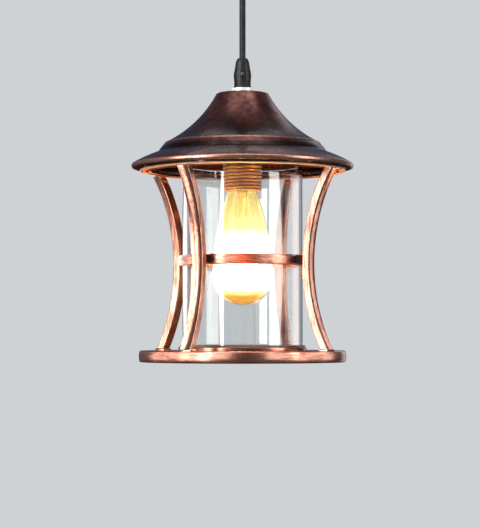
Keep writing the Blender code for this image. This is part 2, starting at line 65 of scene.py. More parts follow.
ROUND = 144                                  # sides of the large turned pieces
SMALL_ROUND = 48                             # sides of the small ones
SHARP = 35                                   # degrees between two faces that stay a hard edge
FLAT = 172                                   # degrees of a corner too open to be rounded


# ---------------------------------------------------------------- places and outlines
def up(height):
    """World height of a level in millimetres above the ring's underside."""
    return BASE + height * MM


def levels(node):
    """Lowest and highest level of a CAD node, in millimetres above the ring's underside."""
    return [(corner.z - BASE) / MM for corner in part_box(node)]


def around(radius, azimuth, height):
    """World point at an azimuth in degrees, counted from the front (-Y) towards +X."""
    angle = math.radians(azimuth)
    return Vector((radius * MM * math.sin(angle), -radius * MM * math.cos(angle), up(height)))


def arc(start, end, sag, steps):
    """Points of a circular arc from start to end, dipping by sag to the right of its chord."""
    (x0, y0), (x1, y1) = start, end
    dx, dy = x1 - x0, y1 - y0
    chord = math.hypot(dx, dy)
    radius = chord * chord / (8 * abs(sag)) + abs(sag) / 2
    half = math.asin(chord / (2 * radius))
    side = math.copysign(1.0, sag)
    points = []
    for i in range(steps + 1):
        angle = -half + 2 * half * i / steps
        along = chord / 2 + radius * math.sin(angle)
        depth = side * (radius * math.cos(angle) - radius * math.cos(half))
        points.append((x0 + (dx * along + dy * depth) / chord,
                       y0 + (dy * along - dx * depth) / chord))
    return points


def fillet(points, radius, steps=4, closed=True):
    """Round the corners of an outline, by radius or as far as its short sides allow."""
    rounded = []
    last = len(points) - 1
    for i, corner in enumerate(points):
        if not closed and i in (0, last):
            rounded.append(corner)
            continue
        here = Vector(corner)
        before, after = Vector(points[i - 1]) - here, Vector(points[(i + 1) % len(points)]) - here
        if before.length < 1e-6 or after.length < 1e-6:
            continue
        opening = before.angle(after)
        if opening > math.radians(FLAT):
            rounded.append(corner)
            continue
        reach = min(radius / math.tan(opening / 2), 0.45 * before.length, 0.45 * after.length)
        a, b = here + before.normalized() * reach, here + after.normalized() * reach
        for k in range(steps + 1):
            t = k / steps
            rounded.append(tuple(a * (1 - t) ** 2 + here * 2 * t * (1 - t) + b * t * t))
    return rounded


def held(outline, closed=True, gap=0.5):
    """Add points close to the ends of an outline's long runs, so that their shading stays flat."""
    points = []
    for i, here in enumerate(outline):
        points.append(here)
        if i == len(outline) - 1 and not closed:
            break
        there = outline[(i + 1) % len(outline)]
        run = math.dist(here, there)
        if run > 4 * gap:
            for share in (gap / run, 1 - gap / run):
                points.append((here[0] + (there[0] - here[0]) * share,
                               here[1] + (there[1] - here[1]) * share))
    return points


def skin(path, thickness):
    """Closed outline of a sheet whose outer side is path, thickened to the path's right."""
    inner = []
    for i, (x, y) in enumerate(path):
        before, after = path[max(i - 1, 0)], path[min(i + 1, len(path) - 1)]
        dx, dy = after[0] - before[0], after[1] - before[1]
        length = math.hypot(dx, dy)
        inner.append((x + dy / length * thickness, y - dx / length * thickness))
    return path + inner[::-1]


# ---------------------------------------------------------------- building pieces
def make(name, bm, sharp=SHARP):
    """Turn a bmesh into a smooth-shaded object with hard edges."""
    bmesh.ops.remove_doubles(bm, verts=bm.verts, dist=1e-7)
    bmesh.ops.recalc_face_normals(bm, faces=bm.faces)
    mesh = bpy.data.meshes.new(name)
    bm.to_mesh(mesh)
    bm.free()
    mesh.shade_smooth()
    mesh.set_sharp_from_angle(angle=math.radians(sharp))
    obj = bpy.data.objects.new(name, mesh)
    bpy.context.collection.objects.link(obj)
    return obj


def bridge(bm, rings):
    """Join rings of as many points, each with the next, by faces."""
    for low, high in zip(rings, rings[1:]):
        for j in range(len(low)):
            k = (j + 1) % len(low)
            bm.faces.new((low[j], low[k], high[k], high[j]))


def sweep_rows(name, rows, closed_outline, sharp=SHARP):
    """Join rows of points, one full turn for each outline point, into a skin."""
    bm = bmesh.new()
    verts = [[bm.verts.new(p) for p in row] for row in rows]
    bridge(bm, verts + verts[:1] if closed_outline else verts)
    bmesh.ops.dissolve_degenerate(bm, dist=1e-8, edges=bm.edges)
    return make(name, bm, sharp)


def turned(name, outline, sides=ROUND, closed=True, shape=None):
    """Turn an outline about Z. shape(r, h, angle) may move each point."""
    rows = []
    for r, h in held(outline, closed):
        row = []
        for j in range(sides):
            angle = 2 * math.pi * j / sides
            rr, hh = shape(r, h, angle) if shape else (r, h)
            row.append((rr * MM * math.cos(angle), rr * MM * math.sin(angle), up(hh)))
        rows.append(row)
    return sweep_rows(name, rows, closed)


def lofted(name, path, section, radius=1.0, sharp=SHARP):
    """Sweep section(i), the outline at each point of a path in the world, with flat ends."""
    rows = []
    for i, point in enumerate(path):
        before, after = path[max(i - 1, 0)], path[min(i + 1, len(path) - 1)]
        heading = (Vector(after) - Vector(before)).normalized()
        side = heading.cross(Vector((0, 1, 0.001))).normalized()
        lift = side.cross(heading)
        rows.append([Vector(point) + side * x * radius + lift * y * radius for x, y in section(i)])
    bm = bmesh.new()
    verts = [[bm.verts.new(p) for p in row] for row in rows]
    bridge(bm, verts)
    bm.faces.new(verts[0][::-1])
    bm.faces.new(verts[-1])
    return make(name, bm, sharp)


def circle(sides):
    """Points of a unit circle."""
    angles = [2 * math.pi * j / sides for j in range(sides)]
    return [(math.cos(angle), math.sin(angle)) for angle in angles]


def wear(obj, look):
    """Give an object a material from MATERIALS."""
    obj.data.materials.clear()
    obj.data.materials.append(MATERIALS[look])


def place(obj, body, look, *nodes):
    """Give a finished piece its body and look, and hide the CAD nodes it stands for."""
    wear(obj, look)
    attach(obj, body)
    if nodes:
        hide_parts(*nodes)


def dress(look, *nodes):
    """Give CAD nodes that stay as they are a look."""
    for node in nodes:
        wear(frame["nodes"][node], look)


def turned_to(axis):
    """Rotation that brings +Z to an axis."""
    return Vector(axis).to_track_quat("Z", "Y").to_matrix().to_4x4()


def standing_at(radius, azimuth, height):
    """Transform to a place at an azimuth, with +X pointing outward."""
    outward = Matrix.Rotation(math.radians(azimuth - 90), 4, "Z")
    return Matrix.Translation(around(radius, azimuth, height)) @ outward


def block(size):
    """Block about the origin, size in millimetres."""
    bm = bmesh.new()
    bmesh.ops.create_cube(bm, size=1.0)
    bmesh.ops.scale(bm, vec=[side * MM for side in size], verts=bm.verts)
    return bm


def soft_block(name, size, edge, profile, taper=(1.0, 1.0, 1.0)):
    """Block with rounded edges, narrowed by taper at its top."""
    bm = block(size)
    bmesh.ops.scale(bm, vec=taper, verts=[v for v in bm.verts if v.co.z > 0])
    bmesh.ops.bevel(bm, geom=list(bm.edges), offset=edge * MM, segments=4, affect="EDGES",
                    profile=profile)
    return make(name, bm, sharp=60)


# ---------------------------------------------------------------- materials
SOCKETS = {
    "colour": "Base Color",
    "rough": "Roughness",
    "metal": "Metallic",
    "normal": "Normal",
    "ior": "IOR",
    "specular": "Specular IOR Level",
    "coat": "Coat Weight",
    "coat_rough": "Coat Roughness",
    "coat_ior": "Coat IOR",
    "through": "Transmission Weight",
    "glow": "Emission Color",
    "glow_power": "Emission Strength",
}


class Nodes:
    """A material's node tree with short calls for the nodes used here."""

    def __init__(self, name):
        self.mat = bpy.data.materials.new(name)
        self.mat.use_nodes = True
        self.tree = self.mat.node_tree
        self.shader = self.tree.nodes["Principled BSDF"]
        self.out = self.tree.nodes["Material Output"]
        self.coords = self.add("ShaderNodeTexCoord").outputs["Object"]

    def add(self, kind, **settings):
        node = self.tree.nodes.new(kind)
        for key, value in settings.items():
            setattr(node, key, value)
        return node

    def link(self, source, target):
        self.tree.links.new(source, target)

    def feed(self, socket, value):
        """Set a socket to a number or colour, or link it."""
        if isinstance(value, (int, float)):
            socket.default_value = value
        elif isinstance(value, tuple):
            socket.default_value = (*value, 1)
        else:
            self.link(value, socket)

    def stretched(self, scale):
        node = self.add("ShaderNodeMapping")
        node.inputs["Scale"].default_value = scale
        self.link(self.coords, node.inputs["Vector"])
        return node.outputs["Vector"]

    def noise(self, scale, detail=4.0, rough=0.55, stretch=None, distortion=0.0):
        node = self.add("ShaderNodeTexNoise")
        node.inputs["Scale"].default_value = scale
        node.inputs["Detail"].default_value = detail
        node.inputs["Roughness"].default_value = rough
        node.inputs["Distortion"].default_value = distortion
        self.link(self.stretched(stretch) if stretch else self.coords, node.inputs["Vector"])
        return node.outputs["Fac"]

    def cells(self, scale):
        node = self.add("ShaderNodeTexVoronoi", feature="SMOOTH_F1")
        node.inputs["Scale"].default_value = scale
        self.link(self.coords, node.inputs["Vector"])
        return node.outputs["Distance"]

    def ramp(self, value, *stops):
        """Colour ramp; each stop is (position, colour or grey)."""
        node = self.add("ShaderNodeValToRGB")
        elements = node.color_ramp.elements
        while len(elements) < len(stops):
            elements.new(0.5)
        for element, (position, colour) in zip(elements, stops):
            element.position = position
            grey = not hasattr(colour, "__len__")
            element.color = (colour, colour, colour, 1) if grey else (*colour, 1)
        self.link(value, node.inputs["Fac"])
        return node.outputs["Color"]

    def by_height(self, stops):
        """Colour ramp over the height in millimetres above the ring's underside."""
        low, high = stops[0][0], stops[-1][0]
        parts = self.add("ShaderNodeSeparateXYZ")
        self.link(self.coords, parts.inputs[0])
        share = self.add("ShaderNodeMapRange")
        share.inputs["From Min"].default_value = up(low)
        share.inputs["From Max"].default_value = up(high)
        self.link(parts.outputs["Z"], share.inputs["Value"])
        shares = [((height - low) / (high - low), value) for height, value in stops]
        return self.ramp(share.outputs["Result"], *shares)

    def math(self, operation, a, b):
        node = self.add("ShaderNodeMath", operation=operation)
        self.feed(node.inputs[0], a)
        self.feed(node.inputs[1], b)
        return node.outputs["Value"]

    def blend(self, factor, a, b, mode="MIX"):
        node = self.add("ShaderNodeMix", data_type="RGBA", blend_type=mode)
        for index, value in ((0, factor), (6, a), (7, b)):
            self.feed(node.inputs[index], value)
        return node.outputs[2]

    def bump(self, height, strength, depth, before=None):
        node = self.add("ShaderNodeBump")
        node.inputs["Strength"].default_value = strength
        node.inputs["Distance"].default_value = depth
        self.link(height, node.inputs["Height"])
        if before:
            self.link(before, node.inputs["Normal"])
        return node.outputs["Normal"]

    def set(self, **sockets):
        """Feed the shader's sockets."""
        for key, value in sockets.items():
            self.feed(self.shader.inputs[SOCKETS[key]], value)


def aged_copper(name, tones, worn, metal=0.85, rough=(0.38, 0.25), specular=0.5,
                painted_shade_levels=(), bright=()):
    """Dark antique copper: blotched brown-black, worn through to bare metal on its edges.

    tones are its dark, middle and light colours. Its two optional height tables are (height, share)
    stops of painted light: the first paints shade and reflection, how much of its colour a level
    keeps; the second paints a highlight, how far a level turns to the bare-metal colour, broken up
    like wear.
    """
    n = Nodes(name)
    blotch = n.noise(38, 6, 0.62, distortion=0.4)
    speck = n.noise(210, 5, 0.6)
    mixed = n.math("ADD", n.math("MULTIPLY", blotch, 0.72), n.math("MULTIPLY", speck, 0.28))
    colour = n.ramp(mixed, *zip((0.36, 0.5, 0.66), tones))
    edge = n.add("ShaderNodeNewGeometry").outputs["Pointiness"]
    wear_and_highlight = n.math("MULTIPLY", n.ramp(edge, (0.52, 0.0), (0.60, 1.0)),
                    n.ramp(speck, (0.35, 0.2), (0.6, 1.0)))
    # Painted shade and painted reflection by height, then a painted highlight by height, broken up
    # by the specks and joined to the edge wear.
    if painted_shade_levels:
        colour = n.blend(1.0, colour, n.by_height(painted_shade_levels), "MULTIPLY")
        painted_highlight = n.math("MULTIPLY", n.by_height(bright), n.ramp(speck, (0.3, 0.55), (0.6, 1.0)))
        wear_and_highlight = n.math("MAXIMUM", wear_and_highlight, painted_highlight)
    colour = n.blend(wear_and_highlight, colour, worn)
    dents = n.bump(n.cells(105), 0.35, 0.0006)
    grain = n.bump(speck, 0.18, 0.0003, dents)
    n.set(colour=colour, rough=n.ramp(mixed, (0.3, rough[0]), (0.7, rough[1])), metal=metal,
          normal=grain, specular=specular)
    return n.mat


def brushed_copper(name, streak, tones, worn, rough=(0.36, 0.24), metal=0.92):
    """Pink-brown antique copper, brushed lengthwise, with dark streaks left in the metal.

    streak stretches the brushing: it runs along the axis with the smallest number.
    """
    n = Nodes(name)
    lines = n.noise(9, 6, 0.65, stretch=streak)
    patch = n.noise(30, 4, 0.6, distortion=0.3)
    mixed = n.math("ADD", n.math("MULTIPLY", lines, 0.55), n.math("MULTIPLY", patch, 0.45))
    colour = n.ramp(mixed, *zip((0.36, 0.48, 0.64), tones))
    edge = n.add("ShaderNodeNewGeometry").outputs["Pointiness"]
    colour = n.blend(n.ramp(edge, (0.51, 0.0), (0.57, 0.8)), colour, worn)
    normal = n.bump(lines, 0.25, 0.00025, n.bump(patch, 0.2, 0.0006))
    n.set(colour=colour, rough=n.ramp(mixed, (0.3, rough[0]), (0.7, rough[1])), metal=metal,
          normal=normal)
    return n.mat


def plain_metal(name, base, dull, metal=1.0):
    """Plated or pressed metal with faint clouding and fine wear."""
    n = Nodes(name)
    cloud = n.noise(120, 5, 0.6)
    n.set(colour=n.ramp(cloud, (0.35, dull), (0.65, base)),
          rough=n.ramp(cloud, (0.3, 0.38), (0.7, 0.22)),
          metal=metal, normal=n.bump(n.noise(720, 3), 0.25, 0.00012))
    return n.mat


def moulded(name, base, light, rough=0.45, depth=0.00015, specular=0.5):
    """Moulded or glazed piece with a fine grain and slight clouding."""
    n = Nodes(name)
    cloud = n.noise(160, 4, 0.55)
    grain = n.noise(1440, 3, 0.5)
    n.set(colour=n.ramp(cloud, (0.3, base), (0.72, light)),
          rough=n.ramp(grain, (0.3, rough + 0.06), (0.7, rough - 0.06)),
          normal=n.bump(grain, 0.3, depth), specular=specular)
    return n.mat


def see_through(name, tint, dust, coat=0.0):
    """Clear glass that lets lamp light through, with faint smears that catch the light.

    tint is the glass's own colour, dust the colour of its smears.
    """
    n = Nodes(name)
    smear = n.noise(14, 5, 0.6, stretch=(5, 5, 0.7))
    n.set(colour=n.ramp(smear, (0.3, tint), (0.75, dust)),
          rough=n.ramp(smear, (0.45, 0.0), (0.8, 0.05)),
          ior=1.47, through=1.0, coat=coat, coat_rough=0.03, coat_ior=2.0)
    clear = n.add("ShaderNodeBsdfTransparent")
    clear.inputs["Color"].default_value = (*tint, 1)
    path = n.add("ShaderNodeLightPath")
    mix = n.add("ShaderNodeMixShader")
    n.link(path.outputs["Is Shadow Ray"], mix.inputs["Fac"])
    n.link(n.shader.outputs["BSDF"], mix.inputs[1])
    n.link(clear.outputs["BSDF"], mix.inputs[2])
    n.link(mix.outputs["Shader"], n.out.inputs["Surface"])
    return n


def cord_braid(name):
    """Matt black braid of fine threads."""
    n = Nodes(name)
    fine = n.noise(900, 3, 0.5)
    soft = n.noise(120, 4, 0.6)
    n.set(colour=n.ramp(soft, (0.3, (0.004, 0.004, 0.005)), (0.75, (0.016, 0.016, 0.019))),
          rough=n.ramp(fine, (0.3, 0.62), (0.7, 0.42)),
          normal=n.bump(fine, 0.4, 0.0002), specular=0.3)
    return n.mat


def bulb_glass(name):
    """Clear bulb glass, lit from inside: whitest beside the filament, yellow above, amber below."""
    n = see_through(name, (1.0, 0.86, 0.52), (1.0, 0.80, 0.44))
    tint = ((56, (1.0, 0.60, 0.20)), (66, (1.0, 0.72, 0.30)), (72, (1.0, 0.95, 0.62)),
            (126, (1.0, 0.97, 0.66)), (134, (0.98, 0.92, 0.58)), (178, (0.95, 0.84, 0.52)))
    glow = ((56, (0.75, 0.34, 0.05)), (65, (0.95, 0.55, 0.12)), (72, (1.0, 0.93, 0.60)),
            (126, (1.0, 0.94, 0.64)), (134, (0.95, 0.80, 0.38)), (178, (0.85, 0.66, 0.26)))
    share = ((56, 0.12), (65, 0.22), (72, 1.0), (126, 1.0), (133, 0.38), (178, 0.16))
    n.set(colour=n.by_height(tint), glow=n.by_height(glow),
          glow_power=n.math("MULTIPLY", n.by_height(share), BULB_GLOW))
    return n.mat


def filament_metal(name):
    """White-hot wire, a little uneven along its length."""
    n = Nodes(name)
    n.set(colour=(0.9, 0.6, 0.3), rough=0.5, glow_power=FILAMENT_GLOW,
          glow=n.ramp(n.noise(300), (0.3, (1.0, 0.62, 0.22)), (0.7, (1.0, 0.78, 0.4))))
    return n.mat


BULB_GLOW = 0.6
FILAMENT_GLOW = 18.0
BROWN_COPPER = ((0.028, 0.012, 0.012), (0.10, 0.036, 0.031), (0.21, 0.083, 0.070))
BARE_COPPER = (0.50, 0.25, 0.20)
CLEAR = (0.985, 0.995, 0.99)
DUSTY = (0.93, 0.95, 0.95)
# Painted shade and painted reflection on the roof: how much of its colour each level keeps.
ROOF_PAINTED_SHADE = (
    (192, 1.0), (206, 0.7),                                     # lip, and painted shade on the eaves
    (209.5, (0.19, 0.23, 0.30)), (213.5, (0.22, 0.27, 0.34)),   # painted blue-black reflection in the hollow under the ridge
    (216, 0.9), (218, 1.0),                                     # ridge
    (220, (0.3, 0.3, 0.34)), (228, (0.5, 0.46, 0.5)),           # painted dark reflection at the foot of the bell
    (240, 1.0), (272, 1.0),
)
# Painted highlights on the roof, broken up like wear: how far each level turns to bare copper.
ROOF_PAINTED_HIGHLIGHT = (
    (192, 1.0), (197.6, 1.0), (198.4, 0.0),                     # painted highlight along the lip
    (217.6, 0.0), (218.4, 0.6), (219.3, 0.6), (220.2, 0.0),     # painted highlight line along the ridge
)

# Function that makes each look, its name, the colours it takes, and what differs from the usual.
LOOKS = (
    (aged_copper, "aged_copper", (BROWN_COPPER, BARE_COPPER), {}),
    (aged_copper, "roof_copper", (BROWN_COPPER, BARE_COPPER),
     {"rough": (0.36, 0.22), "painted_shade_levels": ROOF_PAINTED_SHADE, "bright": ROOF_PAINTED_HIGHLIGHT}),
    # Gallery: painted shade darkens its outer part under the lip to near black, and a painted
    # highlight line runs along its bead.
    (aged_copper, "gallery_copper",
     (((0.05, 0.018, 0.012), (0.20, 0.075, 0.045), (0.34, 0.14, 0.085)), (0.80, 0.50, 0.38)),
     {"metal": 0.5, "rough": (0.5, 0.36),
      "painted_shade_levels": ((188, 1.0), (190.4, 1.0), (191.6, 0.35), (192.6, 0.07), (195.4, 0.05)),
      "bright": ((188, 0.0), (190.5, 0.0), (190.8, 1.0), (191.3, 1.0), (191.8, 0.0))}),
    # Spacers: copper darkened to near black, painted shade for the shade between band and ribs.
    (aged_copper, "black_copper",
     (((0.004, 0.002, 0.002), (0.010, 0.005, 0.004), (0.025, 0.011, 0.008)), (0.07, 0.03, 0.02)),
     {"metal": 0.5, "rough": (0.6, 0.45), "specular": 0.15}),
    (brushed_copper, "rib_copper",
     ((60, 60, 6), ((0.16, 0.055, 0.038), (0.42, 0.18, 0.125), (0.66, 0.37, 0.28)),
      (0.88, 0.60, 0.48)), {"rough": (0.22, 0.12)}),
    (brushed_copper, "ring_copper",
     ((7, 7, 70), ((0.14, 0.045, 0.032), (0.42, 0.17, 0.12), (0.68, 0.38, 0.28)),
      (0.88, 0.58, 0.46)), {"rough": (0.30, 0.17)}),
    (brushed_copper, "holder_copper",
     ((7, 7, 50), ((0.12, 0.032, 0.008), (0.42, 0.145, 0.04), (0.62, 0.27, 0.09)),
      (0.85, 0.46, 0.22)), {"metal": 0.6}),
    (plain_metal, "pale_zinc", ((0.90, 0.90, 0.90), (0.78, 0.77, 0.76)), {"metal": 0.3}),
    (plain_metal, "plated_steel", ((0.66, 0.66, 0.68), (0.42, 0.42, 0.44)), {}),
    (plain_metal, "cap_brass", ((0.80, 0.62, 0.34), (0.58, 0.42, 0.22)), {}),
    (moulded, "black_plastic", ((0.005, 0.005, 0.006), (0.014, 0.015, 0.015)), {"specular": 0.3}),
    (moulded, "ceramic", ((0.74, 0.73, 0.69), (0.82, 0.81, 0.78)),
     {"rough": 0.28, "depth": 0.00005}),
    (moulded, "black_glass", ((0.008, 0.008, 0.012), (0.02, 0.02, 0.028)), {"rough": 0.18}),
    (moulded, "gasket_rubber", ((0.08, 0.05, 0.042), (0.14, 0.095, 0.08)), {"rough": 0.7}),
    (moulded, "brown_wire", ((0.10, 0.035, 0.015), (0.16, 0.06, 0.03)), {"rough": 0.4}),
    (moulded, "blue_wire", ((0.02, 0.08, 0.30), (0.03, 0.12, 0.40)), {"rough": 0.4}),
)
MATERIALS = {name: kind(name, *values, **options) for kind, name, values, options in LOOKS}
MATERIALS["clear_glass"] = see_through("clear_glass", CLEAR, DUSTY, coat=1.0).mat
MATERIALS["inner_glass"] = see_through("inner_glass", CLEAR, DUSTY).mat
MATERIALS["black_cord"] = cord_braid("black_cord")
MATERIALS["bulb_glass"] = bulb_glass("bulb_glass")
MATERIALS["filament_metal"] = filament_metal("filament_metal")


# ---------------------------------------------------------------- camera
CAMERA_DISTANCE = 1.83                       # metres from the lantern's axis
CAMERA_SLOPE = 67 / 1830                     # it looks up by 67 mm over that distance
IMAGE_HEIGHT = 528                           # pixels


def camera():
    """Eye level just above the ring, looking slightly up at the lantern from the front."""
    data = bpy.data.cameras.new("camera")
    data.sensor_width = 36.0
    data.lens = CAMERA_DISTANCE * 1000 * data.sensor_width / IMAGE_HEIGHT    # 1 mm per pixel
    data.clip_start, data.clip_end = 0.05, 200
    cam = bpy.data.objects.new("camera", data)
    bpy.context.collection.objects.link(cam)
    cam.location = (-0.0025, -CAMERA_DISTANCE, up(31))
    cam.rotation_euler = (math.pi / 2 + math.atan(CAMERA_SLOPE), 0, 0)
    bpy.context.scene.camera = cam
    bpy.context.scene.view_settings.view_transform = "Standard"


# ---------------------------------------------------------------- cuts and screws
def cutting_rod(centre, axis, radius, length):
    """Rod to cut a round hole with, its centre at a world point."""
    bm = bmesh.new()
    bmesh.ops.create_cone(bm, cap_ends=True, segments=32, radius1=radius * MM,
                          radius2=radius * MM, depth=length * MM)
    rod = make("rod", bm)
    rod.matrix_world = Matrix.Translation(centre) @ turned_to(axis)
    return rod


def cut(obj, *tools):
    """Cut tools out of a piece and remove them."""
    for tool in tools:
        modifier = obj.modifiers.new("cut", "BOOLEAN")
        modifier.operation = "DIFFERENCE"
        modifier.object = tool
    bpy.context.view_layer.update()
    evaluated = obj.evaluated_get(bpy.context.evaluated_depsgraph_get())
    mesh = bpy.data.meshes.new_from_object(evaluated)
    obj.modifiers.clear()
    old = obj.data
    obj.data = mesh
    bpy.data.meshes.remove(old)
    for tool in tools:
        bpy.data.objects.remove(tool)
    mesh.set_sharp_from_angle(angle=math.radians(SHARP))


def slotted_screw(name, face, axis, head_r, head_depth, shank_r, length):
    """Round-headed screw with a driver slot, its head's inner face at a world point."""
    outline = fillet([(0, -head_depth), (head_r, -head_depth), (head_r, 0), (shank_r, 0),
                      (shank_r, length), (0, length)], 0.3, 3, closed=False)
    rows = [[(r * MM * x, r * MM * y, h * MM) for x, y in circle(32)] for r, h in outline]
    screw = sweep_rows(name, rows, closed_outline=False)
    slot = block((3 * head_r, 0.3 * head_r, head_depth))
    bmesh.ops.translate(slot, vec=(0, 0, -head_depth * MM), verts=slot.verts)
    cut(screw, make("slot", slot))
    screw.matrix_world = Matrix.Translation(face) @ turned_to(axis)
    return screw


# ---------------------------------------------------------------- cord and grips
CORD_R = 3.25
STRANDS = 5                                  # threads of the braid that run each way round
STRAND_TURN = 1.9                            # radians of the braid's pattern in a millimetre
TILT_GAP = 0.2                               # clearance the cord's upper end keeps as it tilts
CLAMP_LEVEL = 13.4                           # clamp screw, counted from a grip's base


def free_cord():
    """Straight braided cord between the two grips, its upper end in the rose's grip."""
    rose_mouth = JOINTS["cord_swing"]["pos_m"][2]
    grip_mouth = JOINTS["lantern_swing"]["pos_m"][2]
    swing = math.radians(max(JOINTS["cord_swing"]["range_deg"]))
    stations, sides = 120, 40
    path = [Vector((0, 0, rose_mouth + (grip_mouth - rose_mouth) * i / stations))
            for i in range(stations + 1)]

    def section(i):
        """Braid's outline at a station. The cord's upper end tapers, so that it can tilt."""
        points = []
        for j, (x, y) in enumerate(circle(sides)):
            angle = 2 * math.pi * j / sides
            run = (path[0].z - path[i].z) / MM
            weave = (math.sin(STRANDS * angle + run * STRAND_TURN)
                     * math.sin(STRANDS * angle - run * STRAND_TURN))
            r = min(CORD_R - 0.12 + 0.14 * weave, (run + TILT_GAP) / math.tan(swing))
            points.append((x * r, y * r))
        return points

    cord = lofted("cord_sheath", path, section, MM, sharp=80)
    wear(cord, "black_cord")
    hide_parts("cord")
    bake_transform(cord)


def grip_outline(length):
    """Outline of a grip that stands on its base: two grooves, a shoulder and a tapering top."""
    return [(3.55, length), (4.6, length), (5.6, length - 1.2), (6.6, length - 3.4),
            (7.9, length * 0.62), (8.75, length * 0.47), (8.9, length * 0.4),
            (8.75, length * 0.34), (8.5, length * 0.3), (8.5, 6.6), (8.15, 6.2), (8.15, 5.2),
            (8.55, 4.8), (8.55, 3.6), (8.15, 3.2), (8.15, 2.2), (8.6, 1.8), (8.6, 0),
            (5.3, 0), (5.3, 10.4), (3.55, 10.4)]


def cord_grip(name, node, body, base, length, pointing, screw_node):
    """Moulded grip with a clamp screw in its front, pointing up (1) or down (-1) from its base."""
    outline = [(r, base + pointing * h) for r, h in fillet(grip_outline(length), 0.5, 3)]
    grip = turned(name, outline, SMALL_ROUND)
    clamp = base + pointing * CLAMP_LEVEL
    cut(grip, cutting_rod(around(7, 0, clamp), (0, -1, 0), 1.95, 9))
    place(grip, body, "black_plastic", node)
    screw = slotted_screw(name + "_screw", around(7.5, 0, clamp), (0, 1, 0), 1.6, 0.9, 1.3, 3.2)
    place(screw, body, "plated_steel", screw_node)


# ---------------------------------------------------------------- roof
def roof():
    """Bell, ridge, sloping skirt and turned-down lip, in one sheet."""
    shoulder, ridge, skirt_top, foot = (27.0, 267.2), (76.0, 219.9), (78.9, 217.4), (84.2, 210.4)
    eaves, lip_top, lip_end = (86.4, 209.2), (109.6, 198.6), (110.3, 193.9)
    path = [(5.3, 269.4), (22, 269.4)] + arc((24.2, 269.35), shoulder, -0.55, 6)
    path += arc(shoulder, ridge, 5.0, 36)[1:]
    path += arc(ridge, skirt_top, -0.6, 6)[1:]
    path += arc(skirt_top, foot, -0.4, 8)[1:]
    path += arc(foot, eaves, 0.4, 5)[1:]
    path += arc(eaves, lip_top, -0.55, 20)[1:]
    path += arc(lip_top, lip_end, -1.3, 10)[1:]
    place(turned("roof", skin(path, 1.2)), "lantern", "roof_copper", "roof_shell")


def gallery():
    """Conical underside of the roof: a turned-in sheet, stepped halfway, with a rolled edge."""
    outline = [(108.9, 195.2), (108.9, 194.0), (104.4, 193.4), (103.4, 192.9), (103.1, 191.4),
               (102.4, 190.7), (101.6, 190.7), (101.0, 191.4), (95.0, 190.3)]
    outline += arc((94.2, 189.2), (91.6, 190.4), 1.2, 8) + [(93.4, 191.6), (101, 193.0)]
    place(turned("gallery", fillet(outline, 0.35, 3)), "lantern", "gallery_copper",
          "gallery_ring")


# ---------------------------------------------------------------- cage
RIBS = {"front_left": -33, "front_right": 57, "back_right": 147, "back_left": -123}
RIB_NEAREST_R, RIB_BEND_R, RIB_WAIST = 77.0, 182.0, 97.0
RIB_HALF_ARC = 31                            # degrees of bend above and below the waist
GALLERY_NORMAL = Vector((-6.4, 0, 16.9)).normalized()
BAND_LEVEL = 101.0
THUMBSCREW_R = 75
THUMBSCREW_AZIMUTHS = (0, 120, 240)


def rib_section():
    """Bar 8 x 12 mm with a crowned outer face and rounded corners."""
    half_d, half_w, crown = 4.0, 6.0, 0.75
    outer = arc((half_d - crown, half_w), (half_d - crown, -half_w), crown, 12)
    return held(fillet(outer + [(-half_d, -half_w), (-half_d, half_w)], 0.9, 4), gap=0.4)


def rib(label, azimuth):
    """Bar bowed in at the waist, cut to meet ring and gallery."""
    section = rib_section()
    stations = 90
    bm = bmesh.new()
    rows = []
    for i in range(stations + 1):
        angle = math.radians(-RIB_HALF_ARC + 2 * RIB_HALF_ARC * i / stations)
        row = []
        for x, y in section:
            reach = RIB_BEND_R - x
            radial = RIB_NEAREST_R + RIB_BEND_R - reach * math.cos(angle)
            height = RIB_WAIST + reach * math.sin(angle)
            row.append(bm.verts.new((radial * MM, y * MM, up(height))))
        rows.append(row)
    bridge(bm, rows)
    bm.faces.new(rows[0][::-1])
    bm.faces.new(rows[-1])
    under_gallery = Vector((92 * MM, 0, up(187.6))) - GALLERY_NORMAL * 0.2 * MM
    for point, normal in (((0, 0, up(11.7)), (0, 0, -1)), (under_gallery, GALLERY_NORMAL)):
        geom = list(bm.verts) + list(bm.edges) + list(bm.faces)
        made = bmesh.ops.bisect_plane(bm, geom=geom, plane_co=point, plane_no=normal,
                                      clear_outer=True)
        rim = [e for e in made["geom_cut"] if isinstance(e, bmesh.types.BMEdge)]
        bmesh.ops.contextual_create(bm, geom=rim)
    bar = make("rib_bar_" + label, bm, sharp=50)
    bar.rotation_euler = (0, 0, math.radians(azimuth - 90))
    place(bar, "lantern", "rib_copper", "rib_" + label)


def spacer(label, azimuth):
    """Block between waist band and rib, copper darkened to near black as painted shade."""
    low, high = 63.8, 72.8
    piece = soft_block("spacer_" + label, (high - low, 9.6, 8.4), 0.9, 0.6)
    piece.matrix_world = standing_at((low + high) / 2, azimuth, BAND_LEVEL)
    place(piece, "lantern", "black_copper", "band_spacer_" + label)


def foot(label, azimuth):
    """Brazed seam that spreads from the foot of a rib over the ring."""
    seam = soft_block("rib_foot_" + label, (11.2, 15, 2.2), 0.8, 0.5, taper=(0.86, 0.9, 1.0))
    seam.matrix_world = standing_at(96.9, azimuth, 12.4)
    place(seam, "lantern", "rib_copper")


